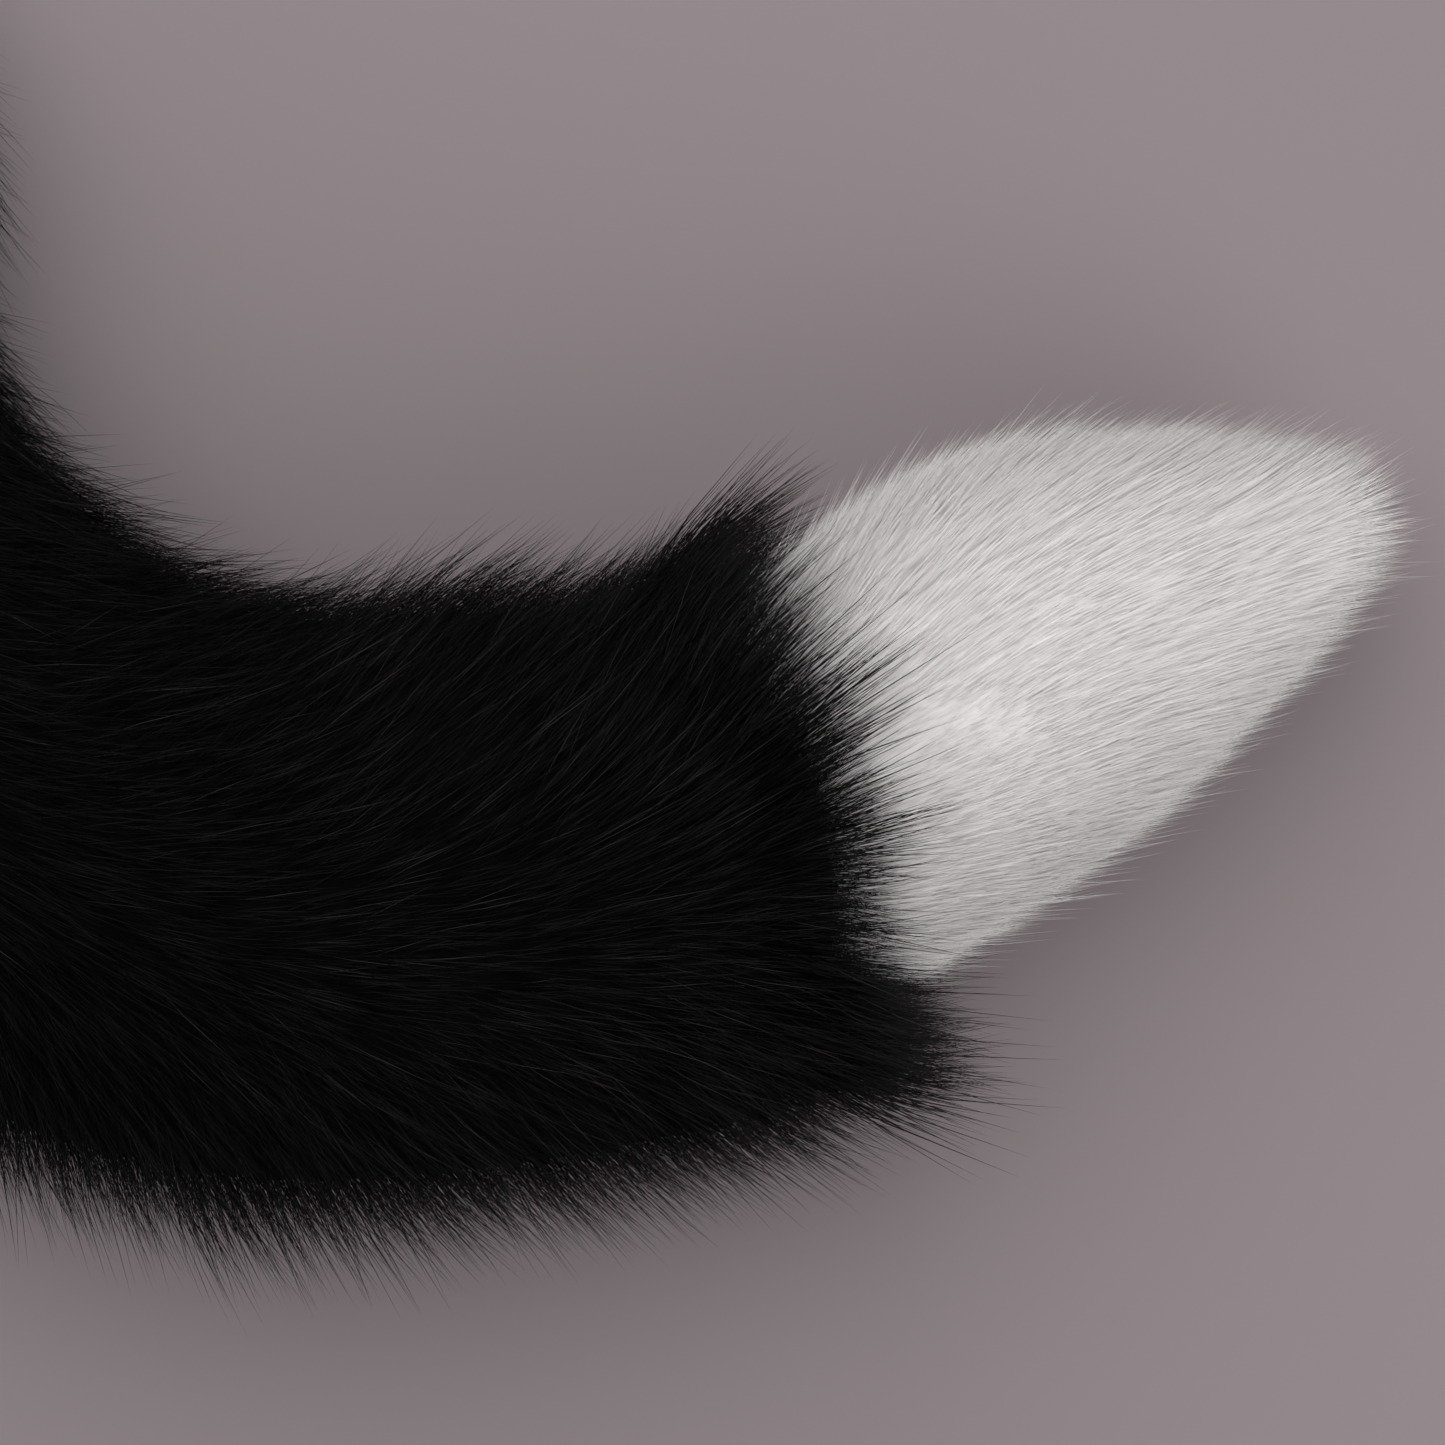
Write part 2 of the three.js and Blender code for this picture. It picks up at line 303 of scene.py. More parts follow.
def makeUnderfur(name, node, material, settings):
    low, high = settings["from"], settings["to"]
    rings = round((high - low) * tail["length"] / underfur["ringStep"])
    shares = np.linspace(low, high, rings + 1)
    angles = np.linspace(-math.pi, math.pi, underfur["sides"], endpoint=False)
    inside = underfur["inside"]
    reach = feelForm(node, np.clip(shares, low + inside, high - inside), angles)
    spread = math.radians(underfur["softAround"]) / (angles[1] - angles[0])
    reach = soften(reach, underfur["softAlong"] / underfur["ringStep"], spread) - settings["shrink"]
    reach += lookUp(underfur["fullerLeft"], shares)[:, None] * np.maximum(-np.sin(angles), 0)

    # the seam is not sewn square to the tail
    fade = np.clip(1 - np.abs(shares - tail["seamAt"]) / underfur["seamFade"], 0, 1)[:, None]
    sewn = shares[:, None] + fade * lookUp(underfur["seamShift"], np.sin(angles)) / tail["length"]
    reach = np.stack([np.interp(sewn[:, j], shares, reach[:, j]) for j in range(len(angles))], 1)
    middles, ahead, right = placesAlong(sewn)
    sides = np.sin(angles)[None, :, None] * right
    sides[:, :, 2] += np.cos(angles)[None, :]
    grid = middles + sides * reach[:, :, None]

    # the pile runs along the form as it is before its end is rounded off
    slope = unit(np.gradient(grid, axis=0))
    across = np.roll(grid, -1, 1) - np.roll(grid, 1, 1)
    out = unit(np.cross(slope, across))
    out *= np.sign((out * sides).sum(2))[:, :, None]
    comb = lookUp(underfur["comb"], shares)[:, None, None]
    flow = unit(slope * (1 - comb) + ahead * comb)
    # but it never dips into the skin
    dip = np.minimum((flow * out).sum(2), 0)[:, :, None]
    flow = unit(flow - out * dip)

    ending = np.clip((shares - high + settings["round"]) / settings["round"], 0, 1)
    least, blunt = settings["roundTo"], underfur["blunt"]
    reach = reach * (least + (1 - least) * (1 - ending ** blunt) ** (1 / blunt))[:, None]
    grid = middles + sides * reach[:, :, None]
    grid[:, :, 2] = np.maximum(grid[:, :, 2], underfur["lowest"])

    ends = np.stack([grid[0].mean(0), grid[-1].mean(0)])
    points = np.concatenate([grid.reshape(-1, 3), ends])
    count = len(angles)
    faces = tubeFaces(rings, count)
    last = rings * count
    for j in range(count):
        k = (j + 1) % count
        faces.append((len(points) - 2, k, j))
        faces.append((len(points) - 1, last + j, last + k))
    mesh = bpy.data.meshes.new(name)
    mesh.from_pydata(points.tolist(), [], faces)
    shareGrid = np.repeat(shares[:, None], count, 1)
    angleGrid = np.repeat(angles[None, :], len(shares), 0)
    storeNumbers(mesh, "along", np.concatenate([shareGrid.ravel(), [low, high]]))
    storeNumbers(mesh, "around", np.concatenate([angleGrid.ravel(), [0, 0]]))
    tips = ahead[[0, -1], 0]
    storeNumbers(mesh, "flow", np.concatenate([flow.reshape(-1, 3), tips]), "FLOAT_VECTOR")
    storeNumbers(mesh, "out", np.concatenate([out.reshape(-1, 3), tips * [[-1], [1]]]), "FLOAT_VECTOR")
    pile = np.stack([shareGrid * tail["length"], angleGrid * reach, 0 * reach], 2).reshape(-1, 3)
    storeNumbers(mesh, "pile", np.concatenate([pile, pile[[0, -1]]]), "FLOAT_VECTOR")
    mesh.materials.append(material)
    mesh.shade_smooth()
    least, most = round(float(reach.min()), 4), round(float(reach.max()), 4)
    print(name, "triangles", triangleCount(mesh), "reach", least, most)
    return linkObject(name, mesh)


# Strands: one tapered three-sided hair a metre long, which Geometry Nodes set all over the underfur. Its bake
# cell holds the cap at its root first and then each side.
strandForm = {"thinning": 0.5, "thinningPower": 1.5, "bendPower": 1.5, "capRows": 0.03, "sideFill": 0.9}


def strandObject(name, segments, radius, bend):
    mesh = bpy.data.meshes.new(name)
    points, shares, rings = [], [], []
    place = Vector((0, 0, 0))
    for ring in range(segments):
        share = ring / segments
        turn = bend * share
        across = Vector((math.cos(turn), 0, -math.sin(turn)))
        thick = radius * (1 - strandForm["thinning"] * share ** strandForm["thinningPower"])
        rings.append(len(points))
        for side in range(3):
            angle = side * 2 * math.pi / 3
            points.append(place + (across * math.cos(angle) + Vector((0, 1, 0)) * math.sin(angle)) * thick)
            shares.append(share)
        middle = bend * (ring + 0.5) / segments
        place = place + Vector((math.sin(middle), 0, math.cos(middle))) / segments
    points.append(place)
    shares.append(1)
    tip, cap = len(points) - 1, strandForm["capRows"]
    faces, cells = [(2, 1, 0)], [(1, 0), (0.5, 0.02), (0, 0)]
    for ring in range(segments):
        low, high = (cap + (1 - cap) * end / segments for end in (ring, ring + 1))
        for side in range(3):
            left, right = side / 3, (side + strandForm["sideFill"]) / 3
            a, b = rings[ring] + side, rings[ring] + (side + 1) % 3
            if ring < segments - 1:
                c, d = rings[ring + 1] + (side + 1) % 3, rings[ring + 1] + side
                faces.append((a, b, c, d))
                cells += [(left, low), (right, low), (right, high), (left, high)]
            else:
                faces.append((a, b, tip))
                cells += [(left, low), (right, low), (left, high)]
    mesh.from_pydata([tuple(p) for p in points], [], faces)
    storeNumbers(mesh, "share", shares)
    cell = mesh.attributes.new("cell", "FLOAT2", "CORNER")
    cell.data.foreach_set("vector", np.array(cells, np.float32).ravel())
    mesh.shade_smooth()
    return linkObject(name, mesh)


# Voronoi cells, which gather the strands in clumps
def clumpCells(root, size):
    place = scaled(root, maths("DIVIDE", 1.0, size))
    return putNode(treeOf(place), "ShaderNodeTexVoronoi", {"Vector": place, "Scale": 1.0}).outputs


# How far each root is from the middle of its own clump
def toClump(root, size):
    middle = scaled(clumpCells(root, size)["Position"], size)
    return vectors("SUBTRACT", middle, root)


# What a coat's settings pass on to the tree that grows it, each as the input of that name
coatNumbers = (
    "density", "length", "lengthVariety", "depth", "stray", "clumpSize", "clumpPull", "tuftSize", "tuftPull",
    "tuftVariety", "waveSize", "wave", "toneSwing", "droop", "floorHeight", "crownHeight", "crownDepth",
    "bakeColumns",
)


def inputName(key):
    return "".join(" " + letter if letter.isupper() else letter for letter in key).title()


def addInputs(tree, kind, *names):
    for name in names:
        tree.interface.new_socket(name=name, in_out="INPUT", socket_type="NodeSocket" + kind)


# The tree that grows a pile. Its skin carries flow, out, lean, reach, painted shade and cover.
def growTree(margins):
    tree = bpy.data.node_groups.new("grow pile", "GeometryNodeTree")
    addInputs(tree, "Geometry", "Skin")
    addInputs(tree, "Object", "Strand")
    addInputs(tree, "Material", "Material")
    addInputs(tree, "Float", *[inputName(key) for key in coatNumbers])
    addInputs(tree, "Int", "Seed")
    tree.interface.new_socket(name="Pile", in_out="OUTPUT", socket_type="NodeSocketGeometry")
    given = tree.nodes.new("NodeGroupInput").outputs

    density = times(given["Density"], readNumber(tree, "cover"))
    scatter = putNode(tree, "GeometryNodeDistributePointsOnFaces", {
        "Mesh": given["Skin"], "Density": density, "Seed": given["Seed"],
    })
    flow = readVector(tree, "flow")
    out = readVector(tree, "out")
    lean = readNumber(tree, "lean")
    sink = scaled(out, times(given["Depth"], -1))
    roots = putNode(tree, "GeometryNodeSetPosition", {"Geometry": scatter.outputs["Points"], "Offset": sink})

    along = scaled(flow, maths("COSINE", lean))
    outward = scaled(out, maths("SINE", lean))
    stray = scaled(randomVector(tree, 1.0, 11), given["Stray"])
    heading = vectors("ADD", vectors("ADD", along, outward), stray)
    stand = putNode(tree, "FunctionNodeAlignRotationToVector", {"Vector": heading}, axis="Z")
    facing = putNode(
        tree, "FunctionNodeAlignRotationToVector",
        {"Rotation": stand.outputs[0], "Vector": flow}, axis="X", pivot_axis="Z",
    )
    variety = times(given["Length Variety"], randomNumber(tree, -1.0, 1.0, 12))
    reach = times(given["Length"], readNumber(tree, "reach"))
    here = tree.nodes.new("GeometryNodeInputPosition").outputs[0]
    tufts = clumpCells(here, given["Tuft Size"])
    tone = putNode(tree, "ShaderNodeSeparateXYZ", {0: tufts["Color"]}).outputs[0]
    uneven = times(given["Tuft Variety"], maths("MULTIPLY_ADD", tone, 2.0, -1.0))
    size = times(reach, plus(plus(variety, uneven), 1.0))
    strand = putNode(tree, "GeometryNodeObjectInfo", {"Object": given["Strand"]}, transform_space="ORIGINAL")
    placed = putNode(tree, "GeometryNodeInstanceOnPoints", {
        "Points": roots.outputs[0], "Instance": strand.outputs["Geometry"],
        "Rotation": facing.outputs[0], "Scale": size,
    })
    # each strand takes one of a set of tones, and its own column in the map that the finish is baked to
    waves = maths("DIVIDE", 1.0, given["Wave Size"])
    patch = noise(scaled(here, waves), 2.0)[0]
    swing = times(minus(patch, 0.5), given["Tone Swing"])
    # the skin's painted shade darkens the tones where it is above nought and lightens them below it
    swing = plus(swing, readNumber(tree, "gloom"))
    tone = maths("POWER", randomNumber(tree, 0.0, 0.9999, 13), maths("EXPONENT", swing))
    column = maths("FLOOR", times(tone, given["Bake Columns"]))
    shade = maths("DIVIDE", plus(column, 0.5), given["Bake Columns"])
    stream = placed.outputs[0]
    for name, kind, value in (
        ("root", "FLOAT_VECTOR", here), ("column", "FLOAT", column), ("shade", "FLOAT", shade),
    ):
        stream = putNode(
            tree, "GeometryNodeStoreNamedAttribute",
            {"Geometry": stream, "Name": name, "Value": value}, data_type=kind, domain="INSTANCE",
        ).outputs[0]
    stream = putNode(tree, "GeometryNodeRealizeInstances", {"Geometry": stream}).outputs[0]

    root = readVector(tree, "root")
    curve = maths("POWER", readNumber(tree, "share"), strandForm["bendPower"])
    pull = times(given["Clump Pull"], curve)
    clump = scaled(toClump(root, given["Clump Size"]), pull)
    pull = times(given["Tuft Pull"], curve)
    tuft = scaled(toClump(root, given["Tuft Size"]), pull)
    swing = noise(scaled(root, waves), 2.0)["Color"]
    swing = vectors("SUBTRACT", swing, (0.5, 0.5, 0.5))
    wave = scaled(swing, times(given["Wave"], curve))
    fall = times(times(given["Droop"], curve), -1)
    droop = putNode(tree, "ShaderNodeCombineXYZ", {"Z": fall}).outputs[0]
    offset = vectors("ADD", vectors("ADD", clump, tuft), vectors("ADD", wave, droop))
    stream = putNode(tree, "GeometryNodeSetPosition", {"Geometry": stream, "Offset": offset}).outputs[0]

    # near the floor a strand bends to lie along it
    place = putNode(tree, "ShaderNodeSeparateXYZ", {0: here}).outputs
    low = given["Floor Height"]
    sunk = minus(maths("DIVIDE", place[2], low), 1.0)
    laid = times(maths("EXPONENT", maths("MINIMUM", sunk, 0.0)), low)
    above = maths("MAXIMUM", minus(place[2], low), 0.0)
    height = plus(laid, above)
    # and high up it bends over
    high, depth = given["Crown Height"], given["Crown Depth"]
    over = maths("MAXIMUM", minus(height, high), 0.0)
    bent = maths("EXPONENT", times(maths("DIVIDE", over, depth), -1.0))
    crown = times(minus(1.0, bent), depth)
    height = plus(maths("MINIMUM", height, high), crown)
    bentOver = putNode(tree, "ShaderNodeCombineXYZ", {"X": place[0], "Y": place[1], "Z": height}).outputs[0]
    stream = putNode(tree, "GeometryNodeSetPosition", {"Geometry": stream, "Position": bentOver}).outputs[0]

    cell = putNode(tree, "ShaderNodeSeparateXYZ", {0: readVector(tree, "cell")})
    inColumn = maths("MULTIPLY_ADD", cell.outputs[0], 1 - 2 * margins[0], margins[0])
    inRow = maths("MULTIPLY_ADD", cell.outputs[1], 1 - 2 * margins[1], margins[1])
    column = plus(readNumber(tree, "column"), inColumn)
    inMap = maths("DIVIDE", column, given["Bake Columns"])
    bakePlace = putNode(tree, "ShaderNodeCombineXYZ", {"X": inMap, "Y": inRow}).outputs[0]
    stream = putNode(
        tree, "GeometryNodeStoreNamedAttribute", {"Geometry": stream, "Name": "OFBake", "Value": bakePlace},
        data_type="FLOAT2", domain="CORNER",
    ).outputs[0]
    spent = ("root", "column", "cell", "flow", "lean", "reach", "cover", "gloom", "along", "around", "pile")
    for name in spent:
        stream = putNode(tree, "GeometryNodeRemoveAttribute", {"Geometry": stream, "Name": name}).outputs[0]
    dressed = putNode(tree, "GeometryNodeSetMaterial", {"Geometry": stream, "Material": given["Material"]})
    result = tree.nodes.new("NodeGroupOutput")
    tree.links.new(dressed.outputs[0], result.inputs["Pile"])
    return tree


def setInput(modifier, name, value):
    sockets = [item for item in modifier.node_group.interface.items_tree if item.item_type == "SOCKET"]
    wanted = next(item for item in sockets if item.in_out == "INPUT" and item.name == name)
    modifier[wanted.identifier] = value


# Turns the pile's run to the left or right on the skin, by how far round the tail it grows
def fanOut(mesh, around, table):
    turn = np.radians(lookUp(table, np.sin(around))) * np.maximum(np.cos(around), 0)
    flow = readRows(mesh.attributes["flow"].data)
    left = np.cross(readRows(mesh.attributes["out"].data), flow)
    flow = flow * np.cos(turn)[:, None] + left * np.sin(turn)[:, None]
    mesh.attributes["flow"].data.foreach_set("vector", np.ascontiguousarray(flow, np.float32).ravel())


# Turns a strand's shading towards the skin under it and a little upwards, so that a dense pile looks velvety
def softenShading(mesh, amount, lift):
    skin, own = unit(readRows(mesh.attributes["out"].data)), readRows(mesh.vertex_normals)
    turned = unit(skin * amount + own * (1 - amount) + np.array([0, 0, lift]))
    mesh.attributes.remove(mesh.attributes["out"])
    if amount > 0:
        mesh.normals_split_custom_set_from_vertices(turned.tolist())


def growPile(name, skin, material, strand, tree, settings, span):
    mesh = skin.data.copy()
    share, around = (readRows(mesh.attributes[key].data, "value", 1)[:, 0] for key in ("along", "around"))
    side = np.sin(around)
    lean = lookUp(settings["leanTop"], share)
    lean += lookUp(settings["leanRight"], share) * np.maximum(side, 0)
    lean += lookUp(settings["leanLeft"], share) * np.maximum(-side, 0)
    storeNumbers(mesh, "lean", np.radians(lean))
    teeth = settings["raggedTeeth"]
    ragged = np.random.default_rng(settings["seed"]).uniform(-1, 1, teeth) * settings["ragged"]
    room = lookUp(settings["hem"], side) + (settings["hemAt"] - share) * tail["length"]
    room += np.interp(around, np.linspace(-math.pi, math.pi, teeth), ragged)
    room = np.clip(room / settings["length"], settings["hemLeast"], 1)
    storeNumbers(mesh, "reach", lookUp(settings["reach"], share) * room)
    # Painted shade: darker tones towards the base and on the right side, and lighter ones near the seam
    gloom = lookUp(settings["gloom"], share) + settings["paintedShadeRight"] * np.maximum(side, 0)
    storeNumbers(mesh, "gloom", gloom)
    fanOut(mesh, around, settings["fan"])
    belly = np.clip((math.pi - np.abs(around)) / math.radians(settings["bellyWidth"]) - 0.5, 0, 1)
    cover = lookUp(settings["cover"], share)
    cover *= settings["bellyCover"] + (1 - settings["bellyCover"]) * belly
    storeNumbers(mesh, "cover", cover * ((share >= span[0]) & (share < span[1])))
    made = linkObject(name, mesh)
    grow = made.modifiers.new("grow", "NODES")
    grow.node_group = tree
    for key in (*coatNumbers, "seed"):
        setInput(grow, inputName(key), settings[key])
    setInput(grow, "Strand", strand)
    setInput(grow, "Material", material)
    grown = settleMesh(made)
    if "OFBake" in grown.uv_layers:
        grown.uv_layers.active = grown.uv_layers["OFBake"]
    softenShading(grown, settings["softShading"], settings["lift"])
    points = readRows(grown.vertices, "co")
    print(name, "triangles", triangleCount(grown), "box", points.min(0).round(4).tolist(),
          points.max(0).round(4).tolist(), "maps", [layer.name for layer in grown.uv_layers])
    return made


# Finishes

def newMaterial(name):
    made = bpy.data.materials.new(name)
    made.use_nodes = True
    made.node_tree.nodes.clear()
    return made


def finishMaterial(made, inputs, specular):
    tree = made.node_tree
    shader = putNode(tree, "ShaderNodeBsdfPrincipled", inputs)
    shader.inputs["Specular IOR Level"].default_value = specular
    result = tree.nodes.new("ShaderNodeOutputMaterial")
    tree.links.new(shader.outputs[0], result.inputs[0])
    return made


def rampNode(factor, stops):
    ramp = putNode(treeOf(factor), "ShaderNodeValToRGB", {0: factor})
    elements = ramp.color_ramp.elements
    while len(elements) < len(stops):
        elements.new(0.5)
    for element, (place, color) in zip(elements, stops):
        element.position = place
        element.color = (*color, 1)
    return ramp.outputs[0]


# A finish whose color and relief follow one pattern, from dark and low to light and high over its spread
def patternMaterial(made, pattern, roughness, look):
    tree = made.node_tree
    low, high = look["spread"]
    color = rampNode(pattern, [(low, look["dark"]), (high, look["light"])])
    relief = putNode(tree, "ShaderNodeBump", {
        "Strength": look["bump"], "Distance": look["bumpDepth"], "Height": pattern,
    })
    inputs = {"Base Color": color, "Roughness": roughness, "Normal": relief.outputs[0]}
    return finishMaterial(made, inputs, look["specular"])


# Fine streaks that run with the pile, from the underfur's own pile coordinates
def streakGroup():
    tree = bpy.data.node_groups.new("pile streaks", "ShaderNodeTree")
    addInputs(tree, "Vector", "Pile")
    addInputs(tree, "Float", "Fineness", "Clumps")
    for name in ("Streaks", "Tufts"):
        tree.interface.new_socket(name=name, in_out="OUTPUT", socket_type="NodeSocketFloat")
    given = tree.nodes.new("NodeGroupInput").outputs
    result = tree.nodes.new("NodeGroupOutput")
    fine = scaled(vectors("MULTIPLY", given["Pile"], (0.06, 1.0, 1.0)), given["Fineness"])
    broad = scaled(vectors("MULTIPLY", given["Pile"], (0.4, 1.0, 1.0)), given["Clumps"])
    tree.links.new(noise(fine, 3.0)[0], result.inputs["Streaks"])
    tree.links.new(noise(broad, 2.0)[0], result.inputs["Tufts"])
    return tree


streaks = streakGroup()


def underfurMaterial(name, look):
    made = newMaterial(name)
    tree = made.node_tree
    pile = putNode(tree, "ShaderNodeAttribute", attribute_name="pile").outputs["Vector"]
    marks = putNode(tree, "ShaderNodeGroup", node_tree=streaks)
    tree.links.new(pile, marks.inputs["Pile"])
    marks.inputs["Fineness"].default_value = look["fineness"]
    marks.inputs["Clumps"].default_value = look["clumps"]
    fine = times(marks.outputs["Streaks"], 0.6)
    both = maths("MULTIPLY_ADD", marks.outputs["Tufts"], 0.4, fine)
    return patternMaterial(made, both, look["roughness"], look)


# A strand darkens towards its root, and a few strands in the pile are painted paler than the rest as painted
# highlights, glints of light along single hairs
def strandMaterial(name, look):
    made = newMaterial(name)
    tree = made.node_tree
    share = putNode(tree, "ShaderNodeAttribute", attribute_name="share").outputs["Fac"]
    shade = putNode(tree, "ShaderNodeAttribute", attribute_name="shade").outputs["Fac"]
    middle = tuple((a + b) / 2 for a, b in zip(look["root"], look["tip"]))
    color = rampNode(share, [(0.0, look["root"]), (0.5, middle), (1.0, look["tip"])])
    level = maths("MULTIPLY_ADD", shade, 2 * look["variety"], 1 - look["variety"])
    # painted highlights: the strands at the top of the tone range get a paler base colour
    few = maths("GREATER_THAN", shade, 1 - look["paintedHighlightShare"])
    paintedHighlightGain = maths("MULTIPLY_ADD", few, look["paintedHighlightGain"] - 1, 1.0)
    tinted = scaled(color, times(level, paintedHighlightGain))
    rough = maths("MULTIPLY_ADD", shade, 0.1, look["roughness"] - 0.05)
    return finishMaterial(made, {"Base Color": tinted, "Roughness": rough}, look["specular"])


blackUnderLook = {
    "dark": (0.0010, 0.0010, 0.0011), "light": (0.0028, 0.0027, 0.0028), "fineness": 2600, "clumps": 160,
    "spread": (0.38, 0.62), "roughness": 1.0, "bump": 0.4, "bumpDepth": 0.001, "specular": 0.04,
}
whiteUnderLook = {
    "dark": (0.86, 0.832, 0.824), "light": (0.92, 0.889, 0.88), "fineness": 3200, "clumps": 120,
    "spread": (0.38, 0.62), "roughness": 0.95, "bump": 0.15, "bumpDepth": 0.001, "specular": 0.15,
}
# the black strands' painted highlights: a small share of strands painted paler, standing in for light glinting
# on single hairs
blackStrandLook = {
    "root": (0.0008, 0.0008, 0.0008), "tip": (0.0072, 0.0061, 0.0064), "variety": 0.75, "paintedHighlightShare": 0.06,
    "paintedHighlightGain": 3.6, "roughness": 0.5, "specular": 0.11,
}
whiteStrandLook = {
    "root": (0.91, 0.877, 0.869), "tip": (0.92, 0.887, 0.879), "variety": 0.01, "paintedHighlightShare": 0.1,
    "paintedHighlightGain": 1.01, "roughness": 0.7, "specular": 0.2,
}
blackUnder = underfurMaterial("black underfur", blackUnderLook)
whiteUnder = underfurMaterial("white underfur", whiteUnderLook)
blackStrand = strandMaterial("black strands", blackStrandLook)
whiteStrand = strandMaterial("white strands", whiteStrandLook)

blackSkin = makeUnderfur("black_underfur", "black_fur", blackUnder, underfur["black"])
whiteSkin = makeUnderfur("white_underfur", "white_tip", whiteUnder, underfur["white"])

# The coats: a short down, densest at the seam, the pile proper, a collar at the seam and a few long guard
# hairs, in stretches of the tail so that each piece stays light. The tables give a share of the length and a
# value. Leans are degrees off the skin. fan and hem go from the left side (-1) to the right (1): fan turns
# the pile's run to the left in degrees, and hem is how far past hemAt the tips reach. The painted shade table
# makes a stretch darker, with fewer painted highlights, and lighter below nought, and its right-side value
# adds painted shade on the right side; toneSwing makes patches. Strands over crownHeight bend over within
# crownDepth.
blackPile = {
    "density": 260000, "length": 0.0235, "lengthVariety": 0.42, "depth": 0.003, "stray": 0.24,
    "clumpSize": 0.005, "clumpPull": 0.38, "tuftSize": 0.014, "tuftPull": 0.2, "tuftVariety": 0.12,
    "waveSize": 0.03, "wave": 0.009, "toneSwing": 3.6, "droop": 0.001, "floorHeight": 0.004,
    "crownHeight": 0.103, "crownDepth": 0.01, "bakeColumns": 64.0,
    "leanTop": [(0, 38), (0.65, 38), (0.72, 30), (0.76, 18)],
    "leanRight": [(0, 26), (0.7, 26), (0.76, 18)],
    "leanLeft": [(0, -8), (0.3, -8), (0.5, 2), (0.7, 4), (0.76, 6)],
    "fan": [(-1, 46), (-0.5, 34), (0, 14), (0.5, -14), (1, -40)],
    "reach": [(0, 0.7), (0.1, 0.95), (0.2, 1), (1, 1)],
    "hemAt": tail["seamAt"], "hem": [(-1, 0.014), (-0.5, 0.013), (0, 0.011), (0.6, 0.012), (1, 0.010)],
    "hemLeast": 0.2, "ragged": 0.005, "raggedTeeth": 60,
    # painted shade along the tail, with more of it on the right side
    "gloom": [(0, 1.5), (0.35, 1.5), (0.5, 0.5), (0.6, -0.1), (0.68, -0.4), (0.76, -0.7)],
    "paintedShadeRight": 0.35,
    "cover": [(0, 0.8), (0.3, 0.8), (0.36, 1)], "bellyWidth": 30, "bellyCover": 0.2, "seed": 3,
    "softShading": 0.0, "lift": 0.0, "strandRadius": 0.0036, "strandSegments": 2, "strandBend": 0.3,
}
blackDown = {
    **blackPile, "density": 800000, "length": 0.016, "lengthVariety": 0.5, "depth": 0.002, "stray": 0.3,
    "clumpPull": 0.3, "tuftPull": 0.1, "leanLeft": [(0, 8), (0.76, 8)],
    "cover": [(0, 0.22), (0.3, 0.22), (0.36, 0.33), (0.66, 0.33), (0.7, 1)], "seed": 41,
    "strandRadius": 0.0055, "strandSegments": 1, "strandBend": 0.2,
}
blackCollar = {
    **blackPile, "density": 900000, "length": 0.028, "lengthVariety": 0.5, "depth": 0.001, "stray": 0.24,
    "clumpSize": 0.006, "clumpPull": 0.8, "tuftSize": 0.006, "tuftPull": 0.0, "tuftVariety": 0.4, "seed": 57,
    "fan": [(-1, 34), (-0.5, 16), (0, 0), (0.5, -24), (1, -50)],
}
blackGuard = {
    **blackPile, "density": 45000, "length": 0.0262, "lengthVariety": 0.3, "stray": 0.28, "clumpPull": 0.2,
    "wave": 0.012, "seed": 17, "strandRadius": 0.0022, "strandSegments": 3, "strandBend": 0.4,
}
whitePile = {
    "density": 1400000, "length": 0.0112, "lengthVariety": 0.4, "depth": 0.001, "stray": 0.12,
    "clumpSize": 0.0035, "clumpPull": 0.12, "tuftSize": 0.012, "tuftPull": 0.04, "tuftVariety": 0.08,
    "waveSize": 0.03, "wave": 0.0015, "toneSwing": 0.0, "droop": 0.0, "floorHeight": 0.002,
    "crownHeight": 0.112, "crownDepth": 0.002, "bakeColumns": 64.0,
    "leanTop": [(0, 10), (1, 10)], "leanRight": [(0, 17), (1, 14)], "leanLeft": [(0, 19), (1, 14)],
    "fan": [(-1, 16), (1, -16)],
    "reach": [(0.76, 1.15), (0.9, 1), (1, 0.9)], "hem": [(-1, 1), (1, 1)], "hemAt": 1.0, "hemLeast": 1.0,
    "ragged": 0.0, "raggedTeeth": 60, "gloom": [(0, 0), (1, 0)], "paintedShadeRight": 0.0,
    "cover": [(0, 1), (1, 1)], "bellyWidth": 24, "bellyCover": 0.3, "seed": 29,
    "softShading": 0.92, "lift": 0.5, "strandRadius": 0.0076, "strandSegments": 1, "strandBend": 0.1,
}
whiteGuard = {
    **whitePile, "density": 210000, "length": 0.0142, "lengthVariety": 0.5, "stray": 0.2, "clumpPull": 0.3,
    "leanTop": [(0, 14), (1, 16)], "leanRight": [(0, 19), (1, 16)], "leanLeft": [(0, 21), (1, 16)],
    "seed": 31, "strandRadius": 0.0025, "strandSegments": 2, "strandBend": 0.3,
}
# The finish is baked to a map with a column for each tone, and this much stays free round a strand's own cell
cellMargins = (0.07, 0.02)
coatTree = growTree(cellMargins)


def growCoat(name, skin, material, settings, cuts):
    strand = strandObject(
        name + "_strand", settings["strandSegments"], settings["strandRadius"], settings["strandBend"]
    )
    pieces = []
    for number in range(len(cuts) - 1):
        label = name if len(cuts) == 2 else name + "_" + str(number + 1)
        own = {**settings, "seed": settings["seed"] + number}
        pieces.append(growPile(label, skin, material, strand, coatTree, own, cuts[number:number + 2]))
    bpy.data.objects.remove(strand)
    return pieces


